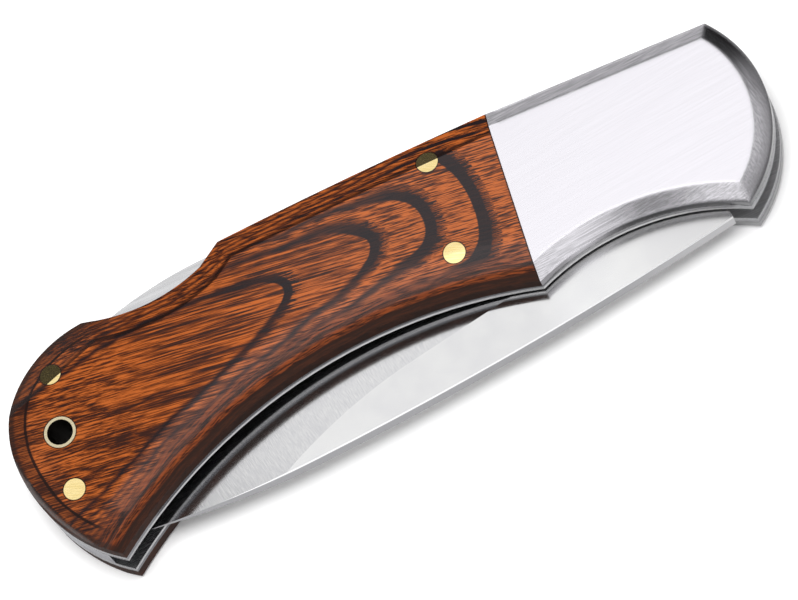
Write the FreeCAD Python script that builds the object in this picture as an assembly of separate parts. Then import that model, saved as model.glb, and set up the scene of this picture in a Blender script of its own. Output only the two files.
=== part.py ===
"""Folding lockback knife, lying closed on its side.

The handle is a sandwich: two steel liners with the blade's slot between them, and on each liner a
bevelled steel bolster in front and a laminated wood scale behind. The blade turns on a hidden pivot
pin. A lock bar rocks on a brass pin along the back of the handle, its tooth over the blade's tang.

The model is drawn about the pivot: x towards the bolster end, y towards the back of the handle,
z across it from the middle of the slot. At the end it is set down with its origin at the middle of
its underside. Lengths are in millimetres and angles in degrees.
"""

import FreeCAD
import Part

import math
import os

from FreeCAD import Vector

# Handle outline, with reaches forward and setbacks rearward of the pivot and insets from the butt
handle_length = 111.3
nose_reach = 14.05
nose_level = 1.9
nose_top_reach = 10.4
nose_low_reach = 5.8
nose_low_depth = 13.5
back_height = 13.4
back_fall = 2.85
back_bulge = 0.25
joint_top_setback = 21.2
joint_low_setback = 23.6
joint_low_depth = 11.2
scale_back_start = 0.4
bolster_hollow = 3.5
belly_hollow = 8.1
butt_corner_inset = 8.85
butt_corner_depth = 21.55
butt_depth = 2.6
butt_low_bulge = 2.6
butt_top_bulge = 4.15
bevel_width = 2.3
scale_bevel_width = 3.5
bevel_drop = 1.0
bevel_end_inset = 14.0
facet_inset = 9.0
facet_height = 5.6
facet_direction = 18.0
facet_slope = 16.0
crown_width = 7.0
crown_radius = 45.0
rounding_depth = 0.9
rounding_lead = 0.2
rounding_radius = 1.6
rounding_tilts = (15, 50, 85)

# Thumb notch in the back
notch_front_inset = 36.2
notch_front_height = 14.2
notch_ramp = 3.5
notch_back_inset = 15.05
notch_height = 11.9
notch_hollow = 1.65

# Layers across the handle
blade_thickness = 2.5
bar_thickness = 3.0
washer_thickness = 0.35
washer_play = 0.025
liner_thickness = 1.2
side_thickness = 2.45

# Blade
closed_tilt = 8.83
tip_to_butt = 11.2
tip_drop = 8.4
straight_back = 3.0
back_bend = 63.0
back_bend_drop = 3.56
edge_depth = 5.0
heel_reach = 16.0
belly_length = 42.0
grind_height = 5.55
grind_meets_back = 67.0
edge_overcut = 1.0
tip_overrun = 5.0
nick_reach = 50.0
nick_length = 13.0
nick_height = 2.0
nick_depth = 0.5
nick_below_back = 4.1

# Lock
tang_wall = 0.95
cam_radius = 9.5
cam_gap = 0.12
tooth_width = 3.0
tooth_drop = 1.0
tooth_gap = 0.25
lock_press = 2.5
bar_inset = 0.1
bar_neck_height = 9.7
bar_boss = 3.1
bar_tail_inset = 16.5
bar_tail_height = 11.4
bar_tail_depth = 3.8
bar_tail_bulge = 0.9

# Pins, rivets, washers and tube
pivot_diameter = 5.0
pivot_cover = 0.8
washer_diameter = 9.0
pin_diameter = 3.0
lock_pin_setback = 30.9
lock_pin_height = 11.3
scale_rivet_setback = 32.4
scale_rivet_depth = 2.55
butt_top_pin_inset = 8.7
butt_top_pin_height = 6.45
butt_low_pin_inset = 6.1
butt_low_pin_depth = 10.4
tube_inset = 7.1
tube_depth = 1.95
tube_diameter = 4.4
tube_bore = 3.6
bolster_rivet_diameter = 2.0
bolster_rivet_bite = 1.4
bolster_rivet_setback = 14.0
bolster_rivet_heights = (8.0, -4.0)
running_fit = 0.05
press_fit = 0.02

# Spacer and leaf spring at the butt
spacer_end_inset = 5.6
spacer_face_bulge = 2.0
spacer_gap = 0.4
spring_thickness = 0.9
spring_width = 2.6
spring_root_inset = 10.5
spring_root_height = 3.9
spring_tip_inset = 31.0
spring_rise = 0.5
spring_gap = 0.1


def turned(along, across, angle):
    """A point given along and across a direction through the pivot."""
    turn = math.radians(angle)
    x = along * math.cos(turn) - across * math.sin(turn)
    y = along * math.sin(turn) + across * math.cos(turn)
    return Vector(x, y, 0)


def angle_of(point):
    """The direction of a point from the pivot, from 0 to 360 degrees."""
    return math.degrees(math.atan2(point.y, point.x)) % 360


def line(start, end):
    return Part.makeLine(start, end)


def bow(start, end, rise):
    """An arc whose middle stands off its chord by rise, to the left of the way from start to end."""
    chord = end - start
    left = Vector(-chord.y, chord.x, 0).normalize()
    middle = (start + end) * 0.5 + left * rise
    return Part.Arc(start, middle, end).toShape()


def leaving_bow(start, end, direction=0.0):
    """An arc that leaves start in a direction, given in radians from +x."""
    chord = end - start
    turn = math.atan2(chord.y, chord.x) - direction
    return bow(start, end, -chord.Length / 2 * math.tan(turn / 2))


def round_pivot(radius, first, last):
    """An arc about the pivot between two directions."""
    angles = (first, (first + last) / 2, last)
    return Part.Arc(*[turned(radius, 0, angle) for angle in angles]).toShape()


def slab(edges, low, high):
    """A plate with the given outline between two levels."""
    face = Part.Face(Part.Wire(edges))
    face.translate(Vector(0, 0, low))
    return face.extrude(Vector(0, 0, high - low))


def polygon(*corners):
    """The closed outline through some corners."""
    return [line(start, end) for start, end in zip(corners, corners[1:] + corners[:1])]


def rod(centre, diameter, low, high):
    return Part.makeCylinder(diameter / 2, high - low, Vector(centre.x, centre.y, low))


def mirrored(shape):
    """The same piece on the other side of the slot."""
    return shape.mirror(Vector(0, 0, 0), Vector(0, 0, 1))


# Levels above the middle of the slot
half_blade = blade_thickness / 2
half_bar = bar_thickness / 2
half_slot = half_blade + washer_thickness + 2 * washer_play
liner_top = half_slot + liner_thickness
half_handle = liner_top + side_thickness

# Corners of the handle's outline
butt_x = nose_reach - handle_length
back_slope = math.tan(math.radians(back_fall))
back_over_pivot = back_height / math.cos(math.radians(back_fall))
nose = Vector(nose_reach, nose_level, 0)
nose_top = Vector(nose_top_reach, back_over_pivot - back_slope * nose_top_reach, 0)
nose_low = Vector(nose_low_reach, -nose_low_depth, 0)
joint_top = Vector(-joint_top_setback, back_over_pivot + back_slope * joint_top_setback, 0)
joint_low = Vector(-joint_low_setback, -joint_low_depth, 0)
scale_back = joint_top + Vector(-1, back_slope, 0) * scale_back_start
notch_front = Vector(butt_x + notch_front_inset, notch_front_height, 0)
notch_foot = Vector(notch_front.x - notch_ramp, notch_height, 0)
notch_back = Vector(butt_x + notch_back_inset, notch_height, 0)
butt = Vector(butt_x, -butt_depth, 0)
butt_corner = Vector(butt_x + butt_corner_inset, -butt_corner_depth, 0)

# Places of the pins
pivot = Vector(0, 0, 0)
lock_pin = Vector(-lock_pin_setback, lock_pin_height, 0)
scale_rivet = Vector(-scale_rivet_setback, -scale_rivet_depth, 0)
butt_top_pin = Vector(butt_x + butt_top_pin_inset, butt_top_pin_height, 0)
butt_low_pin = Vector(butt_x + butt_low_pin_inset, -butt_low_pin_depth, 0)
tube = Vector(butt_x + tube_inset, -tube_depth, 0)
bolster_rivets = [Vector(-bolster_rivet_setback, height, 0) for height in bolster_rivet_heights]

# Lock tooth and the swing between folded and locked open. Open, the blade's back carries on the
# line of the bolster's back, so the tooth and the tang's notch are set out along that line.
swing = 180 - closed_tilt - back_fall
tooth_radius = cam_radius + cam_gap
tooth_front = -tang_wall - tooth_gap
tooth_back = tooth_front - tooth_width
tooth_front_height = math.sqrt(tooth_radius**2 - tooth_front**2)
tooth_back_height = math.sqrt(tooth_radius**2 - tooth_back**2)
lock_drop = math.degrees(tooth_drop / (lock_pin_setback + (tooth_front + tooth_back) / 2))

nodes = {}


def handle_block(width):
    """The whole handle with a bevel all round, from which side plates and pin ends are cut."""
    block = slab(outline, -half_handle, half_handle)
    rim = [edge for edge in block.Edges if abs(abs(edge.CenterOfMass.z) - half_handle) < 0.001]
    return block.makeChamfer(bevel_drop, width, rim).Solids[0]


def back_chips():
    """What bevelling takes off both faces of the scales, along the back of the handle only."""
    corner = Vector(butt_x + bevel_end_inset, 0, -half_handle)
    back = Part.makeBox(handle_length, handle_length, 2 * half_handle, corner)
    return back.cut(handle_block(scale_bevel_width))


def facet_cutter():
    """What dressing takes off the upper face at the top of the butt: all above one flat facet, which
    carries on the bevel of the back and runs out round the butt."""
    along = turned(1, 0, facet_direction)
    across = turned(0, 1, facet_direction) * back_height
    ridge = Vector(butt_x + facet_inset, facet_height, half_handle) - along * (handle_length / 2)
    fall = Vector(0, 0, -back_height * math.tan(math.radians(facet_slope)))
    above = Vector(0, 0, 1)
    section = polygon(ridge, ridge + across + fall, ridge + across + above, ridge + above)
    return Part.Face(Part.Wire(section)).extrude(along * handle_length)


def circle_of(start, end, rise):
    """The centre and radius of the circle on which the bow with this rise lies."""
    chord = end - start
    radius = (chord.Length**2 / 4 + rise**2) / (2 * abs(rise))
    left = Vector(-chord.y, chord.x, 0).normalize()
    return (start + end) * 0.5 + left * (rise - math.copysign(radius, rise)), radius


def rounding_cutter():
    """What dressing takes off the edge of the upper face at the butt. It runs round a flatter circle than
    the butt does, so the rounding is widest in the middle and runs out at both ends."""
    centre, radius = circle_of(butt, butt_corner, rounding_depth - butt_low_bulge)
    tilts = [math.radians(tilt) for tilt in rounding_tilts]
    start, middle, end = [
        Vector(
            radius - rounding_lead + rounding_radius * (math.sin(tilt) - math.sin(tilts[0])), 0,
            half_handle + rounding_radius * (math.cos(tilt) - math.cos(tilts[0])),
        )
        for tilt in tilts
    ]
    far_end = end + Vector(rounding_radius, 0, 0)
    above_end = Vector(far_end.x, 0, half_handle + 1)
    above_start = Vector(start.x, 0, half_handle + 1)
    section = [
        Part.Arc(start, middle, end).toShape(),
        line(end, far_end), line(far_end, above_end), line(above_end, above_start), line(above_start, start),
    ]
    sweep = math.degrees(4 * math.asin((butt_corner - butt).Length / 2 / radius))
    ring = Part.Face(Part.Wire(section)).revolve(Vector(0, 0, 0), Vector(0, 0, 1), sweep)
    ring.rotate(Vector(0, 0, 0), Vector(0, 0, 1), angle_of((butt + butt_corner) * 0.5 - centre) - sweep / 2)
    ring.translate(centre)
    return ring


def crown_cutter():
    """What dressing takes off the upper face along the belly: a ring about the centre of the belly's
    curve, with its underside rounded down from the level face."""
    centre, radius = circle_of(butt_corner, joint_low, belly_hollow)
    turns = [math.asin(share * (crown_width + 1) / crown_radius) for share in (0, 0.5, 1)]
    outer = radius + crown_width
    start, middle, end = [
        Vector(outer - crown_radius * math.sin(turn), 0, half_handle - crown_radius * (1 - math.cos(turn)))
        for turn in turns
    ]
    above_end = Vector(end.x, 0, half_handle + 1)
    above_start = Vector(start.x, 0, half_handle + 1)
    section = [
        Part.Arc(start, middle, end).toShape(),
        line(end, above_end), line(above_end, above_start), line(above_start, start),
    ]
    ring = Part.Face(Part.Wire(section)).revolve(Vector(0, 0, 0), Vector(0, 0, 1), 360)
    ring.translate(centre)
    return ring


def bored(plate, low, high):
    """A side plate or liner with the holes for the tube and for the pins that pass through it."""
    for centre in (lock_pin, scale_rivet, butt_top_pin, butt_low_pin):
        plate = plate.cut(rod(centre, pin_diameter + 2 * press_fit, low, high))
    return plate.cut(rod(tube, tube_diameter + 2 * press_fit, low, high))


outline = [
    Part.Arc(nose_low, nose, nose_top).toShape(),
    line(nose_top, scale_back),
    bow(scale_back, notch_front, -back_bulge),
    line(notch_front, notch_foot),
    bow(notch_foot, notch_back, notch_hollow),
    bow(notch_back, butt, -butt_top_bulge),
    bow(butt, butt_corner, -butt_low_bulge),
    bow(butt_corner, joint_low, belly_hollow),
    bow(joint_low, nose_low, bolster_hollow),
]
block = handle_block(bevel_width)
scale_block = slab(outline, -half_handle, half_handle).cut(back_chips())
for cutter in (facet_cutter(), rounding_cutter(), crown_cutter()):
    scale_block = scale_block.cut(cutter).cut(mirrored(cutter))

# Liners
liner = bored(slab(outline, half_slot, liner_top), half_slot, liner_top)
liner = liner.cut(rod(pivot, pivot_diameter + 2 * press_fit, half_slot, liner_top))
for centre in bolster_rivets:
    liner = liner.cut(rod(centre, bolster_rivet_diameter + 2 * press_fit, half_slot, liner_top))
nodes["upper_liner"] = liner

# Bolsters and scales meet at a slanted joint across the handle
joint_line = joint_top - joint_low
joint_above = joint_top + joint_line
joint_below = joint_low - joint_line
ahead = Vector(handle_length, 0, 0)
in_front = polygon(joint_below, joint_below + ahead, joint_above + ahead, joint_above)
front_half = slab(in_front, liner_top, half_handle)
side_layer = slab(outline, liner_top, half_handle)
pivot_end = half_handle - pivot_cover
rivet_end = liner_top + bolster_rivet_bite
bolster = block.common(side_layer).common(front_half)
bolster = bolster.cut(rod(pivot, pivot_diameter + 2 * press_fit, liner_top, pivot_end))
for centre in bolster_rivets:
    bolster = bolster.cut(rod(centre, bolster_rivet_diameter + 2 * press_fit, liner_top, rivet_end))
nodes["upper_bolster"] = bolster
nodes["upper_scale"] = bored(scale_block.common(side_layer).cut(front_half), liner_top, half_handle)

# Rivets: blind ones in the bolsters, and one through each scale and its liner
nodes["upper_bolster_rivets"] = Part.makeCompound(
    [rod(centre, bolster_rivet_diameter, half_slot, rivet_end) for centre in bolster_rivets]
)
nodes["upper_scale_rivet"] = rod(scale_rivet, pin_diameter, half_slot, half_handle).common(scale_block)

# Washers that the blade runs on
washer_low = half_blade + washer_play
washer = rod(pivot, washer_diameter, washer_low, washer_low + washer_thickness)
washer_hole = rod(pivot, pivot_diameter + 2 * running_fit, washer_low, washer_low + washer_thickness)
nodes["upper_washer"] = washer.cut(washer_hole)

for name in list(nodes):
    nodes[name.replace("upper", "lower")] = mirrored(nodes[name])

# Pins through the whole handle, dressed flush with its faces and bevels
nodes["pivot_pin"] = rod(pivot, pivot_diameter, -pivot_end, pivot_end)
for name, centre in (
    ("lock_bar_pin", lock_pin), ("butt_top_pin", butt_top_pin), ("butt_low_pin", butt_low_pin),
):
    nodes[name] = rod(centre, pin_diameter, -half_handle, half_handle).common(scale_block)
lanyard_tube = rod(tube, tube_diameter, -half_handle, half_handle)
nodes["lanyard_tube"] = lanyard_tube.cut(rod(tube, tube_bore, -half_handle, half_handle))


def tang_edges(heel):
    """The tang's outline from the back of the blade round to its heel."""
    floor_front = Vector(-tang_wall, tooth_front_height - tooth_drop - tooth_gap, 0)
    notch_wall = tooth_back - tooth_gap
    floor_back = Vector(notch_wall, tooth_back_height - tooth_drop - tooth_gap, 0)
    lobe = Vector(notch_wall, math.sqrt(cam_radius**2 - notch_wall**2), 0)
    sunk_front = Vector(tooth_front, tooth_front_height - tooth_drop, 0)
    sunk_back = Vector(tooth_back, tooth_back_height - tooth_drop, 0)
    relief_margin = math.degrees(2 * tooth_gap / cam_radius)
    relief_start = angle_of(Vector(tooth_front, tooth_front_height, 0)) + swing - relief_margin
    relief_end = angle_of(sunk_back) + swing + relief_margin
    relief_radius = sunk_front.Length - tooth_gap
    return [
        line(Vector(-tang_wall, blade_back, 0), floor_front),
        line(floor_front, floor_back),
        line(floor_back, lobe),
        round_pivot(cam_radius, angle_of(lobe), relief_start),
        line(turned(cam_radius, 0, relief_start), turned(relief_radius, 0, relief_start)),
        round_pivot(relief_radius, relief_start, relief_end),
        line(turned(relief_radius, 0, relief_end), heel),
    ]


def bevel_cutter(heel, belly_start, tip):
    """What the grinding takes off the upper face: all above a ruled surface from the edge to the grind
    line, which runs level to the start of the belly and then sweeps up to the back."""
    back_radius = ((back_bend - straight_back) ** 2 + back_bend_drop**2) / (2 * back_bend_drop)
    back_there = blade_back - (grind_meets_back - straight_back) ** 2 / (2 * back_radius)
    sweep_run = grind_meets_back - belly_start.x
    sweep_climb = back_there - grind_height
    sweep_radius = (sweep_run**2 + sweep_climb**2) / (2 * sweep_climb)

    def sweep_point(along):
        climb = sweep_radius - math.sqrt(sweep_radius**2 - (along - belly_start.x) ** 2)
        return Vector(along, grind_height + climb, half_blade)

    rise = tip.y - belly_start.y
    belly_radius = (belly_length**2 + rise**2) / (2 * rise)
    belly_turn = math.asin(belly_length / belly_radius)
    centre = Vector(belly_start.x, belly_start.y + belly_radius, 0)
    overcut_radius = belly_radius + edge_overcut
    overrun = tip_overrun / belly_radius
    turns = (0, (belly_turn + overrun) / 2, belly_turn + overrun)
    low_arc = Part.Arc(
        *[centre + Vector(math.sin(t), -math.cos(t), 0) * overcut_radius for t in turns]
    ).toShape()
    below = Vector(0, -edge_overcut, 0)
    low_line = line(heel + below, belly_start + below)
    level_line = line(Vector(heel.x, grind_height, half_blade), sweep_point(belly_start.x))
    past_tip = tip.x + tip_overrun
    sweep = Part.Arc(*[sweep_point(x) for x in (belly_start.x, (belly_start.x + past_tip) / 2, past_tip)])
    faces = [Part.makeRuledSurface(low_line, level_line), Part.makeRuledSurface(low_arc, sweep.toShape())]
    return [face.extrude(Vector(0, 0, blade_thickness)) for face in faces]


def nail_nick():
    """A crescent in the lower face: a wide cone laid along the blade's back, sunk by the nick's depth."""
    large = (nick_length**2 / 4 + nick_depth**2) / (2 * nick_depth)
    small = large - nick_depth
    start = Vector(nick_reach, blade_back - nick_below_back, -half_blade - small)
    return Part.makeCone(large, small, nick_height, start, Vector(0, -1, 0))


# Blade, drawn open along +x with its back up, then folded into the handle
blade_back = back_height - bar_inset
tip = Vector(-butt_x - tip_to_butt, blade_back - tip_drop, 0)
heel = Vector(heel_reach, -edge_depth, 0)
belly_start = Vector(tip.x - belly_length, -edge_depth, 0)
back_start = Vector(straight_back, blade_back, 0)
bend = Vector(back_bend, blade_back - back_bend_drop, 0)
bend_direction = 2 * math.atan2(bend.y - back_start.y, bend.x - back_start.x)
blade_edges = tang_edges(heel) + [
    line(heel, belly_start),
    leaving_bow(belly_start, tip),
    leaving_bow(bend, tip, bend_direction),
    leaving_bow(back_start, bend),
    line(back_start, Vector(-tang_wall, blade_back, 0)),
]
blade = slab(blade_edges, -half_blade, half_blade)
for cutter in bevel_cutter(heel, belly_start, tip):
    blade = blade.cut(cutter).cut(mirrored(cutter))
blade = blade.cut(nail_nick())
blade = blade.cut(rod(pivot, pivot_diameter + 2 * running_fit, -half_blade, half_blade))
blade.rotate(pivot, Vector(0, 0, 1), 180 + closed_tilt)
nodes["blade"] = blade

# Lock bar along the back: tooth in front, boss round its pin, thumb pad in the notch
inset = Vector(0, -bar_inset, 0)
bar_front = turned(tooth_front, back_height - bar_inset, -back_fall)
bar_neck = turned(tooth_back, bar_neck_height, -back_fall)
boss_front = lock_pin + Vector(bar_boss, -bar_boss, 0)
boss_back = lock_pin + Vector(-bar_boss, -bar_boss, 0)
tail_top = Vector(butt_x + bar_tail_inset, bar_tail_height, 0)
tail_low = tail_top - Vector(0, bar_tail_depth, 0)
tooth_start = angle_of(Vector(tooth_front, tooth_front_height, 0)) - back_fall
tooth_end = angle_of(Vector(tooth_back, tooth_back_height, 0)) - back_fall
bar_edges = [
    line(bar_front, turned(tooth_radius, 0, tooth_start)),
    round_pivot(tooth_radius, tooth_start, tooth_end),
    line(turned(tooth_radius, 0, tooth_end), bar_neck),
    line(bar_neck, boss_front),
    line(boss_front, boss_back),
    line(boss_back, tail_low),
    line(tail_low, tail_top),
    bow(tail_top, notch_front + inset, bar_tail_bulge),
    bow(notch_front + inset, scale_back + inset, back_bulge),
    line(scale_back + inset, bar_front),
]
bar = slab(bar_edges, -half_bar, half_bar)
nodes["lock_bar"] = bar.cut(rod(lock_pin, pin_diameter + 2 * running_fit, -half_bar, half_bar))


def spring_strip(fit, width):
    """The leaf spring's strip, grown by a fit on its two faces and its root."""
    root = Vector(butt_x + spring_root_inset - fit, spring_root_height - fit, 0)
    tip_x = butt_x + spring_tip_inset
    share = (boss_back.x - tip_x) / (boss_back.x - tail_low.x)
    under_bar = boss_back + (tail_low - boss_back) * share
    end = under_bar - Vector(0, spring_gap + spring_thickness + fit, 0)
    thick = Vector(0, spring_thickness + 2 * fit, 0)
    strip = [
        bow(root, end, spring_rise), line(end, end + thick),
        bow(root + thick, end + thick, spring_rise), line(root + thick, root),
    ]
    return slab(strip, -width / 2, width / 2)


# Spacer at the butt, with the spring in a slot of its front face
face_low = Vector(butt_x + spacer_end_inset, -butt_corner_depth, 0)
face_top = Vector(tail_top.x - spacer_gap, back_over_pivot + back_slope * joint_top_setback, 0)
spacer_region = [
    bow(face_low, face_top, -spacer_face_bulge), line(face_top, face_top - ahead),
    line(face_top - ahead, face_low - ahead), line(face_low - ahead, face_low),
]
spacer = slab(outline, -half_slot, half_slot).common(slab(spacer_region, -half_slot, half_slot))
for centre in (butt_top_pin, butt_low_pin):
    spacer = spacer.cut(rod(centre, pin_diameter + 2 * press_fit, -half_slot, half_slot))
spacer = spacer.cut(rod(tube, tube_diameter + 2 * press_fit, -half_slot, half_slot))
nodes["butt_spacer"] = spacer.cut(spring_strip(press_fit, 2 * half_slot))
nodes["lock_spring"] = spring_strip(0, spring_width)

# Set the knife down on its lower side, centred over the origin
box = block.optimalBoundingBox(False)
seat = Vector(-box.Center.x, -box.Center.y, half_handle)
os.makedirs("parts", exist_ok=True)
for name, shape in nodes.items():
    shape.translated(seat).exportStep(f"parts/{name}.step")
for name, place in (("pivot", pivot), ("lock bar pin", lock_pin), ("lanyard tube", tube)):
    print(name, [round(value, 3) for value in place + seat])
print("swing", round(swing, 2), "lock drop", round(lock_drop, 2), "lock press", lock_press)
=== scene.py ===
"""Looks of a folding lockback knife that lies closed on its side, in a soft white studio.

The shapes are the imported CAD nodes. Here each one gets its finish, and the camera and light of the
photograph are set up round it. Lengths in materials are in millimetres.
"""

import math

import bmesh
import bpy
from mathutils import Matrix, Vector


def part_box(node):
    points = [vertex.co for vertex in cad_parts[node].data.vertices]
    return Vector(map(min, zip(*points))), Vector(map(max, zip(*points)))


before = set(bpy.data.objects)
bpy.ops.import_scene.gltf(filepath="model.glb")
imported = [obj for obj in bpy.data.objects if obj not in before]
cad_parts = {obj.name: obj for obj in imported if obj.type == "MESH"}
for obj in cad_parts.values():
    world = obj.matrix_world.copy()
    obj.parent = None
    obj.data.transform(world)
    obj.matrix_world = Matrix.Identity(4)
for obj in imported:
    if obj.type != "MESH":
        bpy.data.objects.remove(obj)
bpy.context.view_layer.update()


# The camera stands in front of the knife, 65 degrees up, and is rolled so that the handle climbs
# to the right. It is a long lens on a 798 x 600 frame, so the knife shows little perspective.
camera_aim = Vector((-0.000386, 0.000506, 0.0053))
camera_distance = 0.73333
camera_azimuth = math.radians(-81.534)
camera_elevation = math.radians(65.0)
camera_roll = math.radians(-32.68)
film_width = 36.0
lens_length = 248.12
nearest_seen, farthest_seen = 0.01, 50.0

camera_back = Vector((
    math.cos(camera_elevation) * math.cos(camera_azimuth),
    math.cos(camera_elevation) * math.sin(camera_azimuth),
    math.sin(camera_elevation),
))
level_right = Vector((0, 0, 1)).cross(camera_back).normalized()
level_up = camera_back.cross(level_right)
image_right = level_right * math.cos(camera_roll) + level_up * math.sin(camera_roll)
image_up = camera_back.cross(image_right)

camera_data = bpy.data.cameras.new("studio_camera")
camera_data.sensor_width = film_width
camera_data.lens = lens_length
camera_data.clip_start = nearest_seen
camera_data.clip_end = farthest_seen
camera = bpy.data.objects.new("studio_camera", camera_data)
turned_camera = Matrix((image_right, image_up, camera_back)).transposed().to_4x4()
camera.matrix_world = Matrix.Translation(camera_aim + camera_back * camera_distance) @ turned_camera
bpy.context.scene.collection.objects.link(camera)
bpy.context.scene.camera = camera
bpy.context.scene.view_settings.view_transform = "Standard"


# The floor is a white sweep of matt paper. The photograph has it overexposed, so what the camera and
# the polished steel see of it is lifted, and less so close to the knife, where its shadow stays.
floor_half = 6.0
paper_white = (0.94, 0.94, 0.94, 1)
plain_white = (1, 1, 1, 1)
paper_lift = 0.22
shadow_reach = 0.007
shadow_rays = 12
openness_unlifted, openness_lifted = 0.35, 0.95


class Field:
    """A number or colour that changes over a surface: a node socket that takes part in sums."""

    def __init__(self, tree, socket):
        self.tree = tree
        self.socket = socket

    def sum_with(self, operation, *others):
        """A Math node on this field and on other fields or numbers."""
        return field_sum(self.tree, operation, self, *others)

    def __add__(self, other):
        return self.sum_with("ADD", other)

    def __sub__(self, other):
        return self.sum_with("SUBTRACT", other)

    def __rsub__(self, other):
        return field_sum(self.tree, "SUBTRACT", other, self)

    def __mul__(self, other):
        return self.sum_with("MULTIPLY", other)

    def __truediv__(self, other):
        return self.sum_with("DIVIDE", other)

    def __abs__(self):
        return self.sum_with("ABSOLUTE")

    def at_least(self, low):
        return self.sum_with("MAXIMUM", low)

    def at_most(self, high):
        return self.sum_with("MINIMUM", high)

    def over(self, limit):
        return self.sum_with("GREATER_THAN", limit)

    def under(self, limit):
        return self.sum_with("LESS_THAN", limit)

    def step(self, low, high):
        """0 below low, 1 above high, and a smooth rise between them. Low may be the greater."""
        made = add_node(self.tree, "ShaderNodeMapRange", {
            "Value": self, "From Min": low, "From Max": high}, interpolation_type="SMOOTHSTEP")
        return Field(self.tree, made.outputs["Result"])

    def span(self, first, last):
        """First where the field is 0, last where it is 1."""
        made = add_node(self.tree, "ShaderNodeMapRange", {"Value": self, "To Min": first, "To Max": last})
        return Field(self.tree, made.outputs["Result"])


def add_node(tree, kind, inputs=None, **settings):
    """A shader node with its settings. Its inputs are plain values, or the fields and sockets that
    feed them."""
    made = tree.nodes.new(kind)
    for name, value in settings.items():
        setattr(made, name, value)
    for name, value in (inputs or {}).items():
        if isinstance(value, Field):
            value = value.socket
        if isinstance(value, bpy.types.NodeSocket):
            tree.links.new(value, made.inputs[name])
        else:
            made.inputs[name].default_value = value
    return made


def field_sum(tree, operation, *terms):
    """The result of a Math node whose terms are numbers or fields."""
    made = add_node(tree, "ShaderNodeMath", dict(enumerate(terms)), operation=operation)
    return Field(tree, made.outputs[0])


def new_material(name):
    """An empty node material, its tree and the socket of its surface."""
    material = bpy.data.materials.new(name)
    material.use_nodes = True
    material.node_tree.nodes.clear()
    output = material.node_tree.nodes.new("ShaderNodeOutputMaterial")
    return material, material.node_tree, output.inputs["Surface"]


shape = bmesh.new()
bmesh.ops.create_grid(shape, x_segments=1, y_segments=1, size=floor_half)
floor_mesh = bpy.data.meshes.new("paper_floor")
shape.to_mesh(floor_mesh)
shape.free()
floor = bpy.data.objects.new("paper_floor", floor_mesh)
bpy.context.scene.collection.objects.link(floor)

paper, tree, surface = new_material("white_paper")
matt = add_node(tree, "ShaderNodeBsdfDiffuse", {"Color": paper_white})
openness = add_node(tree, "ShaderNodeAmbientOcclusion", {"Distance": shadow_reach}, samples=shadow_rays)
lift = add_node(tree, "ShaderNodeMapRange", {
    "Value": openness.outputs["AO"], "From Min": openness_unlifted, "From Max": openness_lifted,
    "To Max": paper_lift})
glow = add_node(tree, "ShaderNodeEmission", {"Color": plain_white, "Strength": lift.outputs["Result"]})
lifted = add_node(tree, "ShaderNodeAddShader", {0: matt.outputs[0], 1: glow.outputs[0]})
ray = add_node(tree, "ShaderNodeLightPath")
seen = Field(tree, ray.outputs["Is Camera Ray"])
seen = seen.at_least(ray.outputs["Is Glossy Ray"]).at_least(ray.outputs["Is Transmission Ray"])
view = add_node(tree, "ShaderNodeMixShader", {0: seen, 1: matt.outputs[0], 2: lifted.outputs[0]})
tree.links.new(view.outputs[0], surface)
floor_mesh.materials.append(paper)


# The studio is a white tent, written as the patches of it that the steel reflects, each over those
# before it. A softbox hangs behind the knife with the dark room under it, black cards give the
# bevels their contrast, and the front is two lit panels with a seam. The camera sees only white.
tent_level = 0.32
tent_patches = {
    # azimuth and elevation of the middle, angle from it where the patch ends and is full, its level
    "front wall": (-90, 58, 44, 20, 0.66),
    "left front panel": (-131, 65, 14, 8, 1.0),
    "right front panel": (-68, 67, 15, 9, 0.98),
    "seam of the panels": (-111, 67, 8, 4, 0.06),
    "low front": (-96, 20, 24, 9, 1.15),
    "low front, right": (-60, 22, 22, 11, 1.15),
    "dark room behind": (98, 34, 18, 9, 0.06),
    "dark room behind, left": (120, 34, 22, 12, 0.05),
    "sweep behind": (90, 12, 12, 6, 0.62),
    "softbox": (96, 68, 31, 20, 1.0),
    "card left of the softbox": (133, 56, 13.5, 9, 0.06),
    "hot spot of the softbox": (100, 77, 10, 7.5, 2.0),
    "hot spot on the left": (135, 75, 14, 9, 1.6),
    "card off the bolster": (53, 27.5, 16, 7, 0.0),
    "right wall": (8, 48, 22, 9, 0.60),
}


def direction_of(azimuth, elevation):
    """The unit vector towards a direction in degrees."""
    flat = math.cos(math.radians(elevation))
    return Vector((
        flat * math.cos(math.radians(azimuth)),
        flat * math.sin(math.radians(azimuth)),
        math.sin(math.radians(elevation)),
    ))


world = bpy.data.worlds.new("white_tent")
bpy.context.scene.world = world
world.use_nodes = True
tree = world.node_tree
tree.nodes.clear()
towards = add_node(tree, "ShaderNodeTexCoord").outputs["Generated"]
level = tent_level
for patch, (azimuth, elevation, end, full, patch_level) in tent_patches.items():
    facing = add_node(tree, "ShaderNodeVectorMath", {0: towards, 1: direction_of(azimuth, elevation)},
                      operation="DOT_PRODUCT")
    share = Field(tree, facing.outputs["Value"]).step(
        math.cos(math.radians(end)), math.cos(math.radians(full)))
    blend = add_node(tree, "ShaderNodeMix", {"Factor": share, "A": level, "B": patch_level}, label=patch)
    level = blend.outputs["Result"]
tent = add_node(tree, "ShaderNodeBackground", {"Color": plain_white, "Strength": level})
white = add_node(tree, "ShaderNodeBackground", {"Color": plain_white, "Strength": 1.0})
ray = add_node(tree, "ShaderNodeLightPath")
view = add_node(tree, "ShaderNodeMixShader", {
    0: ray.outputs["Is Camera Ray"], 1: tent.outputs[0], 2: white.outputs[0]})
add_node(tree, "ShaderNodeOutputWorld", {"Surface": view.outputs[0]})


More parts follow.
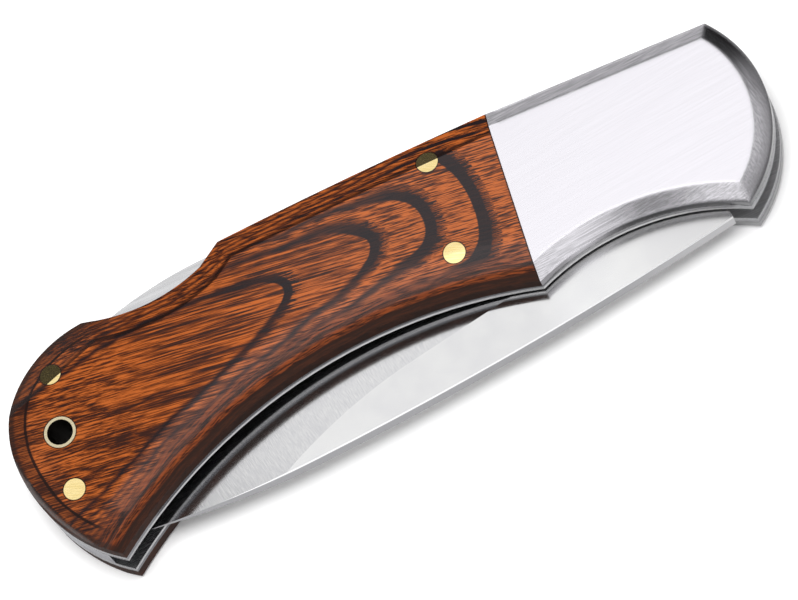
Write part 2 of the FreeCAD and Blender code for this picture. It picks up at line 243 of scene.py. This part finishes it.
# The lamp is a square softbox almost straight overhead, a little to the front, so that the knife's
# shadow is narrow and lies close beside it. The steel doesn't mirror it: it has the tent for that.
lamp_direction = direction_of(-90, 88)
lamp_distance = 0.9
lamp_size = 0.50
lamp_watts = 6.6

lamp_data = bpy.data.lights.new("softbox_lamp", "AREA")
lamp_data.size = lamp_size
lamp_data.energy = lamp_watts
lamp = bpy.data.objects.new("softbox_lamp", lamp_data)
lamp.location = camera_aim + lamp_direction * lamp_distance
lamp.rotation_mode = "QUATERNION"
lamp.rotation_quaternion = lamp_direction.to_track_quat("Z", "Y")
lamp.visible_camera = False
lamp.visible_glossy = False
bpy.context.scene.collection.objects.link(lamp)


# The two liners are blanked from stainless sheet and line the blade's slot. Only their edges show,
# as a line round the handle. They are linished along their length. Their sides carry painted shade,
# darker along the wood and darker still at both ends, and the corners on the slot's side, rounded
# over by a relief, stay bright.
millimetre = 0.001


def box_of(name):
    """The lowest and highest corners of a node at rest, in millimetres."""
    return [Vector(corner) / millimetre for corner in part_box(name)]


slot_top = box_of("upper_liner")[0].z
slot_bottom = box_of("lower_liner")[1].z
slot_half = (slot_top - slot_bottom) / 2
handle_middle = (slot_top + slot_bottom) / 2
liner_light = (0.60, 0.60, 0.61, 1)
liner_dark = (0.42, 0.42, 0.43, 1)
# The next two tones are painted shade on the liners' sides.
liner_side_shade = (0.15, 0.15, 0.16, 1)
liner_end_shade = (0.12, 0.12, 0.13, 1)
liner_roughness = 0.34, 0.22
liner_streaks = {"turn": 0.0, "length": 9.0, "width": 0.12}
side_from_slot = 0.65, 0.85
end_shade_from_slot = 0.40, 0.60
wood_ends = 26.0, 18.0
butt_end_shading = -12.0, -36.0
front_end_shading = 40.0, 47.0
front_shade_strength = 0.7
front_roughens = 38.0, 44.0
front_roughness = 0.17
upper_corner = slot_top, slot_top + 0.50
lower_corner = slot_bottom - 0.45, slot_bottom
corner_slope = -0.9
liner_relief = 2e-6


def place_of(tree):
    """The place on the object in millimetres."""
    place = add_node(tree, "ShaderNodeTexCoord")
    scaled = add_node(tree, "ShaderNodeVectorMath", {0: place.outputs["Object"], "Scale": 1 / millimetre},
                      operation="SCALE")
    return scaled.outputs[0]


def parts_of(tree, vector):
    """The x, y and z of a vector."""
    split = add_node(tree, "ShaderNodeSeparateXYZ", {0: vector})
    return [Field(tree, split.outputs[axis]) for axis in "XYZ"]


def facing_of(tree):
    """The x, y and z of the surface's own direction on the object."""
    return parts_of(tree, add_node(tree, "ShaderNodeTexCoord").outputs["Normal"])


def held(field, low, high):
    """The field, held between low and high."""
    return field.at_least(low).at_most(high)


def mix_colour(share, first, second):
    """First where the share is 0 and second where it is 1. Colours are values or fields."""
    factor, colour_a, colour_b, result = 0, 6, 7, 2
    made = add_node(share.tree, "ShaderNodeMix", {factor: share, colour_a: first, colour_b: second},
                    data_type="RGBA")
    return Field(share.tree, made.outputs[result])


def new_group(name, inputs, outputs):
    """A shader node group with its inputs' kinds and first values, and float outputs."""
    group = bpy.data.node_groups.new(name, "ShaderNodeTree")
    for socket, kind, value in inputs:
        made = group.interface.new_socket(socket, in_out="INPUT", socket_type=kind)
        if value is not None:
            made.default_value = value
    for socket in outputs:
        group.interface.new_socket(socket, in_out="OUTPUT", socket_type="NodeSocketFloat")
    return group, group.nodes.new("NodeGroupInput"), group.nodes.new("NodeGroupOutput")


# Marks of a grinding belt: thin streaks along x, turned about z, over faint broad clouds.
mark_contrast = 0.3, 0.7
belt_marks, marks_in, marks_out = new_group("belt_marks", (
    ("Place", "NodeSocketVector", None),
    ("Turn", "NodeSocketFloat", 0.0),
    ("Streak length", "NodeSocketFloat", 8.0),
    ("Streak width", "NodeSocketFloat", 0.2),
), ("Streaks", "Clouds"))
turned = add_node(belt_marks, "ShaderNodeVectorRotate", {
    "Vector": marks_in.outputs["Place"], "Angle": marks_in.outputs["Turn"]}, rotation_type="Z_AXIS")
stretch = add_node(belt_marks, "ShaderNodeCombineXYZ", {
    "X": marks_in.outputs["Streak length"], "Y": marks_in.outputs["Streak width"],
    "Z": marks_in.outputs["Streak width"]})
squeezed = add_node(belt_marks, "ShaderNodeVectorMath", {0: turned.outputs[0], 1: stretch.outputs[0]},
                    operation="DIVIDE")
streaks = add_node(belt_marks, "ShaderNodeTexNoise", {
    "Vector": squeezed.outputs[0], "Scale": 1.0, "Detail": 4.0, "Roughness": 0.62})
clouds = add_node(belt_marks, "ShaderNodeTexNoise", {
    "Vector": marks_in.outputs["Place"], "Scale": 0.22, "Detail": 2.0})
for name, noise in (("Streaks", streaks), ("Clouds", clouds)):
    mark = Field(belt_marks, noise.outputs["Fac"]).step(*mark_contrast)
    belt_marks.links.new(mark.socket, marks_out.inputs[name])


def streaks_and_clouds(tree, place, turn, length, width):
    """The belt marks placed in a material."""
    marks = add_node(tree, "ShaderNodeGroup", {
        "Place": place, "Turn": turn, "Streak length": length, "Streak width": width},
        node_tree=belt_marks)
    return Field(tree, marks.outputs["Streaks"]), Field(tree, marks.outputs["Clouds"])


def raised(tree, height, unit, base=None, strength=1.0):
    """The surface's direction under a relief whose heights are in a unit of so many metres."""
    bump = add_node(tree, "ShaderNodeBump", {"Strength": strength, "Distance": unit, "Height": height})
    if base is not None:
        tree.links.new(base, bump.inputs["Normal"])
    return bump.outputs["Normal"]


def polished_metal(tree, surface, colour, roughness, relief, depth, base=None):
    """A metal surface with its colour, its roughness and a relief of so many metres."""
    finish = add_node(tree, "ShaderNodeBsdfPrincipled", {
        "Metallic": 1.0, "Base Color": colour, "Roughness": roughness,
        "Normal": raised(tree, relief, depth, base)})
    tree.links.new(finish.outputs[0], surface)


def give(material, *names):
    """Puts a material on the nodes of these names."""
    for name in names:
        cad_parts[name].material_slots[0].material = material


liner_steel, tree, surface = new_material("linished_sheet")
place = place_of(tree)
x, _, z = parts_of(tree, place)
streaks, _ = streaks_and_clouds(tree, place, **liner_streaks)
from_slot = abs(z - handle_middle) - slot_half
shaded_ends = x.step(*butt_end_shading).at_least(x.step(*front_end_shading) * front_shade_strength)
tone = mix_colour(streaks, liner_dark, liner_light)
# Painted shade: the liners' sides go darker along the wood and at both ends, away from the slot's
# corners.
tone = mix_colour(from_slot.step(*side_from_slot) * x.step(*wood_ends), tone, liner_side_shade)
tone = mix_colour(shaded_ends * from_slot.step(*end_shade_from_slot), tone, liner_end_shade)
corners = (held(z, *upper_corner) + held(z, *lower_corner)) * corner_slope
roughness = x.step(*front_roughens) * front_roughness + streaks.span(*liner_roughness)
polished_metal(tree, surface, tone, roughness, streaks, liner_relief, raised(tree, corners, millimetre))
give(liner_steel, "upper_liner", "lower_liner")


# The lock bar rocks along the back between the liners. It is sawn from bar as thick as the blade and
# polished on its edges.
cloud_share = 0.35


def marked_steel(name, light, dark, smooth, rough, depth, turn, length, width):
    """Ground metal whose streaks change its colour, its roughness and, by some microns, its relief."""
    material, tree, surface = new_material(name)
    streaks, clouds = streaks_and_clouds(tree, place_of(tree), turn, length, width)
    share = (clouds * cloud_share + streaks) / (1 + cloud_share)
    tone = mix_colour(share, dark, light)
    polished_metal(tree, surface, tone, share.span(rough, smooth), streaks, depth)
    return material


lock_steel = marked_steel(
    "polished_bar", light=(0.70, 0.70, 0.71, 1), dark=(0.58, 0.58, 0.59, 1), smooth=0.22, rough=0.30,
    depth=1e-6, turn=0.0, length=10.0, width=0.5)
give(lock_steel, "lock_bar")


# The spacer closes the butt between the liners and is pinned through with them. It is dark steel,
# filed flush with their edges.
spacer_steel = marked_steel(
    "filed_spacer", light=(0.20, 0.20, 0.22, 1), dark=(0.10, 0.10, 0.12, 1), smooth=0.28, rough=0.42,
    depth=3e-6, turn=0.0, length=3.0, width=0.15)
give(spacer_steel, "butt_spacer")


# The leaf spring is blued strip. It is held in the spacer and hidden in the slot under the lock bar's
# tail, which it pushes up.
spring_steel = marked_steel(
    "blued_strip", light=(0.24, 0.25, 0.30, 1), dark=(0.14, 0.15, 0.20, 1), smooth=0.25, rough=0.40,
    depth=1e-6, turn=0.0, length=6.0, width=0.2)
give(spring_steel, "lock_spring")


# The blade is stainless. Its flats are lapped almost to a mirror, with faint clouds and scuffs, and
# its bevels are ground across, so they keep fine lines square to the edge. The back is ground rougher
# and carries painted shade, with a painted highlight along its upper corner, which a relief also
# rounds, and the tang is duller than the rest.
flat_dark = (0.74, 0.74, 0.75, 1)
flat_light = (0.79, 0.79, 0.79, 1)
flat_scuff = (0.72, 0.72, 0.73, 1)
bevel_line = (0.66, 0.66, 0.68, 1)
# Painted shade for the back and a painted highlight for its upper corner:
back_shade = (0.22, 0.22, 0.23, 1)
corner_highlight = (0.93, 0.93, 0.94, 1)
tang_dull = (0.50, 0.49, 0.50, 1)
bevel_streaks = {"turn": math.radians(80), "length": 7.0, "width": 0.13}
scuffs = {"turn": math.radians(14), "length": 0.5, "width": 0.22}
scuff_share = 0.25
flat_ends, bevel_ends, back_starts = (0.9985, 0.9955), (0.80, 0.95), (0.7, 0.4)
blade_top = box_of("blade")[1].z
back_top = blade_top - 0.60, blade_top - 0.45
back_corner = blade_top - 0.50, blade_top
tang_dulls, tang_dullness = (22.0, 44.0), 0.45
tang_roughens, tang_roughness = (14.0, 24.0), 0.14
flat_to_ground_roughness = 0.09, 0.14
bevel_relief = 1.5e-6

blade_steel, tree, surface = new_material("satin_blade")
place = place_of(tree)
x, _, z = parts_of(tree, place)
leaning = abs(facing_of(tree)[2])
on_bevel = leaning.step(*flat_ends) * leaning.step(*bevel_ends)
on_back = leaning.step(*back_starts)
across, _ = streaks_and_clouds(tree, place, **bevel_streaks)
scuffed, mottle = streaks_and_clouds(tree, place, **scuffs)
highlight_corner = on_back * z.step(*back_top)
tone = mix_colour(mottle, flat_dark, flat_light)
tone = mix_colour(scuffed * scuff_share, tone, flat_scuff)
tone = mix_colour(on_bevel * (1.0 - across), tone, bevel_line)
# Painted shade on the back, and a painted highlight on its upper corner.
tone = mix_colour(on_back - highlight_corner, tone, back_shade)
tone = mix_colour(highlight_corner, tone, corner_highlight)
tone = mix_colour(x.step(*tang_dulls) * tang_dullness, tone, tang_dull)
ground = on_bevel.at_least(on_back)
roughness = x.step(*tang_roughens) * tang_roughness + ground.span(*flat_to_ground_roughness)
corner = raised(tree, held(z, *back_corner) * corner_slope * on_back, millimetre)
polished_metal(tree, surface, tone, roughness, across * on_bevel, bevel_relief, corner)
give(blade_steel, "blade")


# Bronze washers run between the tang and the liners, and steel pins hold the pivot and the bolsters.
# All of them are covered when the knife is put together.
washer_bronze = marked_steel(
    "lapped_bronze", light=(0.72, 0.48, 0.27, 1), dark=(0.55, 0.34, 0.18, 1), smooth=0.22, rough=0.35,
    depth=1e-6, turn=0.6, length=4.0, width=0.15)
give(washer_bronze, "upper_washer", "lower_washer")
pin_steel = marked_steel(
    "drawn_pin", light=(0.72, 0.72, 0.73, 1), dark=(0.55, 0.55, 0.56, 1), smooth=0.22, rough=0.35,
    depth=1e-6, turn=0.0, length=3.0, width=0.1)
give(pin_steel, "pivot_pin", "upper_bolster_rivets", "lower_bolster_rivets")


# The bolsters are stainless blocks, belt ground: lengthwise on the flats and long bevels, and round
# the bevel of the end, which carries painted shade outwards. The flats are finer than the bevels and
# the edges are eased, except at the joint with the wood. The walls of the end are painted dark,
# painted shade, darker on the upper bolster than on the lower.
joint_lean = 0.0935
joint_middle = 18.737
bolster_light = (0.88, 0.86, 0.91, 1)
bolster_dark = (0.57, 0.56, 0.59, 1)
# Painted shade for the end bevel and the end walls:
end_bevel_shade = (0.38, 0.37, 0.39, 1)
upper_end_wall_shade = (0.10, 0.10, 0.105, 1)
lower_end_wall_shade = (0.20, 0.20, 0.205, 1)
long_streaks = {"turn": -0.08, "length": 9.0, "width": 0.16}
end_streaks = {"turn": 1.35, "length": 6.0, "width": 0.16}
flat_fineness = 0.88
end_leans, flat_leans, wall_leans = (0.18, 0.28), (0.95, 0.99), (0.90, 0.50)
bevel_to_flat_roughness = 0.19, 0.27
bolster_relief = 3e-6
easing_radius = 0.8
easing_samples = 6
easing_starts = 0.9, 1.8
end_bevel_heights = 5.2, 4.2
end_walls = 24.0, 32.0

bolster_steel, tree, surface = new_material("ground_bolster")
place = place_of(tree)
x, y, z = parts_of(tree, place)
lean_x, _, lean_z = facing_of(tree)
on_end = abs(lean_x).step(*end_leans)
on_flat = abs(lean_z).step(*flat_leans)
lengthwise, _ = streaks_and_clouds(tree, place, **long_streaks)
endwise, _ = streaks_and_clouds(tree, place, **end_streaks)
streak = endwise * on_end + lengthwise * (1.0 - on_end)
strength = 1.0 - on_flat * flat_fineness
past_joint = x - (y * joint_lean + joint_middle)
as_cut = add_node(tree, "ShaderNodeNewGeometry").outputs["Normal"]
eased = add_node(tree, "ShaderNodeBevel", {"Radius": easing_radius * millimetre}, samples=easing_samples)
factor, vector_a, vector_b, vector_result = 0, 4, 5, 1
worn = add_node(tree, "ShaderNodeMix", {
    factor: past_joint.step(*easing_starts), vector_a: as_cut, vector_b: eased.outputs["Normal"],
}, data_type="VECTOR").outputs[vector_result]
outwards = abs(z - handle_middle).step(*end_bevel_heights)
on_wall = abs(parts_of(tree, worn)[2]).step(*wall_leans)
tone = mix_colour((1.0 - streak) * strength, bolster_light, bolster_dark)
# Painted shade: the end bevel darkens outwards, and the end walls are dark, more so on the upper bolster.
tone = mix_colour(on_end * outwards, tone, end_bevel_shade)
end_wall_shade = mix_colour(z.under(handle_middle), upper_end_wall_shade, lower_end_wall_shade)
tone = mix_colour(on_wall * x.step(*end_walls), tone, end_wall_shade)
polished_metal(tree, surface, tone, on_flat.span(*bevel_to_flat_roughness), streak * strength,
               bolster_relief, worn)
give(bolster_steel, "upper_bolster", "lower_bolster")


# The handle's sides are dressed by hand after they are pinned, wood and pins together, so they fall
# away a little towards the belly and the butt. The edges there are arcs in plan.
belly_centre, belly_radius = (-4.55, -74.53, 0), 70.5
butt_low_centre, butt_low_radius = (-33.33, -0.26, 0), 22.33
butt_top_centre, butt_top_radius = (-40.42, 0.14, 0), 15.23
butt_arcs_meet = 0.87
butt_ends, butt_end_slope = 38.0, 1.3
belly_dressed, belly_curve, belly_slope, belly_turn = 6.2, 0.006, 0.075, 0.7
butt_dressed, butt_slope, butt_turn = 6.0, 0.10, 2.0
taper_from, taper_length = 2.0, 480.0

dressing, dressing_in, dressing_out = new_group("edge_dressing", (
    ("Place", "NodeSocketVector", None),
), ("Belly", "Butt", "Belly height", "Butt height"))
x, y, _ = parts_of(dressing, dressing_in.outputs["Place"])


def distance_from(tree, x, y, centre):
    """How far a place lies from a centre, in plan."""
    plan = add_node(tree, "ShaderNodeCombineXYZ", {"X": x, "Y": y})
    made = add_node(tree, "ShaderNodeVectorMath", {0: plan.outputs[0], 1: centre}, operation="DISTANCE")
    return Field(tree, made.outputs["Value"])


from_belly = distance_from(dressing, x, y, belly_centre) - belly_radius
from_low = butt_low_radius - distance_from(dressing, x, y, butt_low_centre)
from_top = butt_top_radius - distance_from(dressing, x, y, butt_top_centre)
from_butt = y.over(butt_arcs_meet) * (from_top - from_low) + from_low
from_butt = (x + butt_ends).at_least(0.0) * butt_end_slope + from_butt
into_belly = (belly_dressed - from_belly).at_least(0.0)
into_butt = (butt_dressed - from_butt).at_least(0.0)
to_butt = (taper_from - x).at_least(0.0)
belly_square = into_belly * into_belly
belly_fall = belly_square * belly_curve + belly_square * belly_slope / (into_belly + belly_turn)
taper_fall = to_butt * to_butt / taper_length
butt_fall = into_butt * into_butt * butt_slope / (into_butt + butt_turn) + taper_fall
for name, field in (("Belly", from_belly), ("Butt", from_butt),
                    ("Belly height", belly_fall * -1.0), ("Butt height", butt_fall * -1.0)):
    dressing.links.new(field.socket, dressing_out.inputs[name])


# The scales are pressed from dyed veneers and ground through at a slant, so each black veneer shows
# as a loop that points to the bolster, and again as lines along the edges. Orange between, with dark
# streaks along the grain, longest in the middle, under a satin oil finish. The side walls, and the
# outermost edges at the belly and the butt, are painted dark: partly dark veneer, partly painted shade.
wood_streak = (0.034, 0.010, 0.006, 1)
wood_brown = (0.165, 0.037, 0.008, 1)
wood_orange = (0.45, 0.108, 0.021, 1)
wood_pore = (0.022, 0.008, 0.005, 1)
butt_rim = (0.020, 0.006, 0.004, 1)
belly_dark = (0.014, 0.005, 0.004, 1)
belly_red = (0.19, 0.040, 0.010, 1)
veneer_black = (0.010, 0.007, 0.009, 1)
line_black = (0.010, 0.004, 0.003, 1)
# The next colour is dark veneer and painted shade, on the side walls and the outer edges.
wall_ply_and_shade = (0.022, 0.010, 0.007, 1)
oil_index = 1.42
streak_to_orange_oil = 0.26, 0.18
grain_turn = math.radians(9.5)
grain_relief, grain_relief_share = 1.0e-5, 0.6

wood, tree, surface = new_material("dyed_laminated_wood")
place = place_of(tree)
x, y, z = parts_of(tree, place)
depth = handle_middle - abs(z - handle_middle)
dressed = add_node(tree, "ShaderNodeGroup", {"Place": place}, node_tree=dressing)
from_belly, from_butt = Field(tree, dressed.outputs["Belly"]), Field(tree, dressed.outputs["Butt"])
grain_place = add_node(tree, "ShaderNodeVectorRotate", {"Vector": place, "Angle": grain_turn},
                       rotation_type="Z_AXIS").outputs[0]


def wood_noise(length, width, detail, roughness, offset=(0, 0, 0)):
    """Noise drawn out along the grain, in millimetres."""
    drawn = add_node(tree, "ShaderNodeMapping", {
        "Vector": grain_place, "Location": offset, "Scale": (1 / length, 1 / width, 1 / width)})
    made = add_node(tree, "ShaderNodeTexNoise", {
        "Vector": drawn.outputs[0], "Scale": 1.0, "Detail": detail, "Roughness": roughness})
    return Field(tree, made.outputs["Fac"])


waver = wood_noise(length=9.0, width=6.0, detail=2.0, roughness=0.5)
long_grain = wood_noise(length=8.0, width=0.25, detail=3.0, roughness=0.6)
short_grain = wood_noise(length=3.0, width=0.23, detail=2.0, roughness=0.5, offset=(5, 3, 1))
speck = wood_noise(length=3.0, width=0.23, detail=3.0, roughness=0.6, offset=(8, 1, 6))
broad = wood_noise(length=14.0, width=2.2, detail=2.0, roughness=0.5, offset=(2, 7, 3))
pore = wood_noise(length=3.2, width=0.14, detail=2.0, roughness=0.5, offset=(1, 9, 4))

# The veneers lie in the scale like nested bowls on a ridge along it, and each crossing of the surface
# with a black one is a loop. The lower scale is cut a little further along.
ply_pitch = 8.0
ply_pitch_at_butt = 13.0
ply_fall = 15.0
back_bevel_starts = 0.25
lower_scale_shift = 9.0
ridge_peak_x, ridge_peak_y = 5.0, 7.54
ridge_droop, ridge_droop_ahead = 0.0028, 0.012
crowding_ahead = 0.014
ridge_waver, ridge_waver_middle = 2.4, 1.2
bowl_width, bowl_growth, bowl_growth_length = 2.5, 2.0, 5.5
nose_width, nose_growth, nose_least = 0.25, 0.0155, 0.18
arm_width = 0.46
widest_ply = 0.16
tooth_length = 1.5
edge_softness, arm_softness = 0.12, 0.26
arm_slants, arm_strength = (1.3, 2.6), 0.94
tooth_grain = 0.44, 0.60
last_loop, loops_off_belly = (-1.7, -1.3), (2.2, 4.6)
first_loop, first_loop_along, flat_depth = (2.45, 2.65), (9.0, 12.0), (0.35, 0.25)

along = x + z.under(handle_middle) * lower_scale_shift
past_peak = along - ridge_peak_x
ahead = past_peak.at_least(0.0)
ridge = ridge_peak_y - past_peak * past_peak * ridge_droop - ahead * ahead * ridge_droop_ahead
off_ridge = waver * ridge_waver + y - (ridge + ridge_waver_middle)
blunt = (along / bowl_growth_length).sum_with("EXPONENT") * bowl_growth + bowl_width
bowl = off_ridge * off_ridge / blunt
sunk = (depth - back_bevel_starts).at_least(0.0) * ply_fall
climb = along + ahead * ahead * crowding_ahead + (bowl + sunk)
ply = climb.at_least(0.0) / ply_pitch + climb.at_most(0.0) / ply_pitch_at_butt
pitch = climb.over(0.0) * (ply_pitch - ply_pitch_at_butt) + ply_pitch_at_butt
slant = off_ridge * 2.0 / blunt
steep = (slant * slant + 1.0).sum_with("SQRT")
off_ply = ply - ply.sum_with("ROUND")
per_ply = steep / pitch
arm = steep.step(*arm_slants)
nose = (along * nose_growth + nose_width).at_least(nose_least)
half_ply = (per_ply * (nose / steep + arm_width)).at_most(widest_ply)
tooth = short_grain.step(*tooth_grain) / steep * (per_ply * tooth_length)
soft = per_ply * (arm * arm_softness + edge_softness)
inner_edge = ((off_ply + half_ply) / soft).step(-1.0, 1.0)
outer_edge = ((half_ply + tooth - off_ply) / soft).step(-1.0, 1.0)
within_loops = ply.step(*last_loop) * from_belly.step(*loops_off_belly)
past_loops = along.step(*first_loop_along) * (ply.step(*first_loop) * depth.step(*flat_depth))
black_ply = inner_edge * outer_edge * within_loops * (1.0 - past_loops) * arm.span(1.0, arm_strength)

# Thin black lines run along the back bevel, the belly and the butt, and dark glue shows at the joint
# with the bolster and round the pins.
back_starts_at, line_on_back_top, line_on_back_low = (8.0, 11.0), (0.0, 0.04), (0.24, 0.12)
belly_waver, butt_waver = 0.9, 0.5
near_line, far_line, butt_line_in = 0.95, 2.55, 2.6
line_half, butt_line_half = 0.14, 0.12
line_soft, far_line_soft = 0.14, 0.2
far_line_share = 0.85
butt_line_along, butt_line_off_belly = (-39.0, -43.0), (3.0, 6.0)
joint_glue, pin_glue = (0.26, 0.12), (0.22, 0.08)
glued_pins = "lock_bar_pin", "upper_scale_rivet", "butt_top_pin", "butt_low_pin", "lanyard_tube"


def line_at(field, centre, half_width, soft):
    """1 on a line where the field is within half a width of the centre."""
    return abs(field - centre).step(half_width + soft, half_width)


back_line = depth.step(*line_on_back_top) * depth.step(*line_on_back_low)
back_line = from_belly.step(*back_starts_at) * back_line
in_from_belly = from_belly + (waver - 0.5) * belly_waver
in_from_butt = from_butt + waver * butt_waver
near_belly_line = line_at(in_from_belly, near_line, line_half, line_soft)
far_belly_line = line_at(in_from_belly, far_line, line_half, far_line_soft)
belly_line = near_belly_line.at_least(far_belly_line * far_line_share)
on_butt = x.step(*butt_line_along) * from_belly.step(*butt_line_off_belly)
butt_line = line_at(in_from_butt, butt_line_in, butt_line_half, line_soft) * on_butt
glue = (y * joint_lean + joint_middle - x).step(*joint_glue)
for name in glued_pins:
    lowest, highest = box_of(name)
    pin_middle = (lowest + highest) / 2
    pin_radius = (highest.x - lowest.x) / 2
    from_pin = distance_from(tree, x, y, (pin_middle.x, pin_middle.y, 0)) - pin_radius
    glue = glue.at_least(from_pin.step(*pin_glue))

# Between the loops the grain is short near the bolster and at the butt, with broad blotches there.
# Along the belly the veneers are cut almost edgewise, so they show as thin red and dark layers.
bolster_grain, bolster_lightness = (-0.9, 0.5), 0.035
butt_grain = -30.0, -42.0
blotches_along, blotch_contrast = (-24.0, -40.0), (0.20, 0.46)
layer_length, layer_width, layer_height = 2.6, 0.24, 2.0
layer_contrast, layers_in = (0.42, 0.60), (5.4, 2.8)
streak_to_brown, brown_to_orange, streak_to_oiled = (0.40, 0.50), (0.49, 0.60), (0.42, 0.56)
pore_edge, butt_rim_in = (0.44, 0.36), (2.9, 2.2)
wall_starts, belly_edge, butt_edge, butt_edge_share = (0.80, 0.45), (1.6, 0.8), (1.0, 0.5), 0.85
belly_unoiled, unoiled_roughness = (2.8, 1.6), 0.9

near_bolster = ply.step(*bolster_grain)
near_butt = x.step(*butt_grain)
grain = short_grain * near_bolster + long_grain * (1.0 - near_bolster)
grain = speck * near_butt + grain * (1.0 - near_butt)
blotch = (broad - 0.5) * x.step(*blotches_along).span(*blotch_contrast)
shade = near_bolster * bolster_lightness + (blotch + grain)
layer_place = add_node(tree, "ShaderNodeCombineXYZ", {
    "X": x / layer_length, "Y": in_from_belly / layer_width, "Z": z / layer_height})
layers = add_node(tree, "ShaderNodeTexNoise", {
    "Vector": layer_place.outputs[0], "Scale": 1.0, "Detail": 3.0, "Roughness": 0.6})
layered = mix_colour(Field(tree, layers.outputs["Fac"]).step(*layer_contrast), belly_dark, belly_red)
wall = abs(facing_of(tree)[2]).step(*wall_starts)
edge_ply_and_shade = from_belly.step(*belly_edge).at_least(from_butt.step(*butt_edge) * butt_edge_share)

tone = mix_colour(shade.step(*streak_to_brown), wood_streak, wood_brown)
for where, cover, colour in (
    (shade.step(*brown_to_orange), 1.0, wood_orange),
    (pore.step(*pore_edge), 0.65, wood_pore),
    (from_butt.step(*butt_rim_in), 0.50, butt_rim),
    (in_from_belly.step(*layers_in), 0.85, layered),
    (black_ply, 0.98, veneer_black),
    (back_line, 0.80, line_black),
    (belly_line, 0.85, line_black),
    (butt_line, 0.92, line_black),
    (glue, 0.85, line_black),
    # Dark veneer and painted shade on the side walls and the outermost belly and butt edges.
    (wall.at_least(edge_ply_and_shade), 0.90, wall_ply_and_shade),
):
    tone = mix_colour(where * cover, tone, colour)
oil = shade.step(*streak_to_oiled).span(*streak_to_orange_oil)
oil = oil.at_least(wall.at_least(from_belly.step(*belly_unoiled) * unoiled_roughness))
fall = Field(tree, dressed.outputs["Belly height"]) + dressed.outputs["Butt height"]
finish = add_node(tree, "ShaderNodeBsdfPrincipled", {
    "IOR": oil_index, "Base Color": tone, "Roughness": oil,
    "Normal": raised(tree, grain, grain_relief, raised(tree, fall, millimetre), grain_relief_share)})
tree.links.new(finish.outputs[0], surface)
give(wood, "upper_scale", "lower_scale")


# Brass pins go right through the handle, and short rivets through one side where the blade lies
# behind. All are ground flush with the wood, flat and dressed edge alike.
brass_dark = (0.84, 0.65, 0.27, 1)
brass_light = (0.94, 0.77, 0.39, 1)
brass_streaks = {"turn": 0.4, "length": 2.5, "width": 0.15}
brass_roughness = 0.20, 0.12
brass_relief = 1e-6

pin_brass, tree, surface = new_material("ground_brass")
place = place_of(tree)
dressed = add_node(tree, "ShaderNodeGroup", {"Place": place}, node_tree=dressing)
streaks, _ = streaks_and_clouds(tree, place, **brass_streaks)
tone = mix_colour(streaks, brass_dark, brass_light)
fall = raised(tree, dressed.outputs["Belly height"], millimetre)
polished_metal(tree, surface, tone, streaks.span(*brass_roughness), streaks, brass_relief, fall)
give(pin_brass, "lock_bar_pin", "upper_scale_rivet", "lower_scale_rivet", "butt_top_pin", "butt_low_pin")


# A thin brass tube lines the lanyard hole near the butt, pressed in and cut flush. Its rim is rubbed
# pale, and its bore is painted almost black, painted shade down the hole.
rim_dark = (0.56, 0.48, 0.31, 1)
rim_light = (0.74, 0.66, 0.46, 1)
bore_shade = (0.030, 0.022, 0.014, 1)
tube_streaks = {"turn": 0.0, "length": 2.0, "width": 0.1}
bore_starts = 0.8, 0.4
rim_to_bore_roughness = 0.24, 0.55

tube_brass, tree, surface = new_material("tube_brass")
streaks, _ = streaks_and_clouds(tree, place_of(tree), **tube_streaks)
in_bore = abs(facing_of(tree)[2]).step(*bore_starts)
# Painted shade: the bore is almost black.
tone = mix_colour(in_bore, mix_colour(streaks, rim_dark, rim_light), bore_shade)
polished_metal(tree, surface, tone, in_bore.span(*rim_to_bore_roughness), streaks, brass_relief)
give(tube_brass, "lanyard_tube")
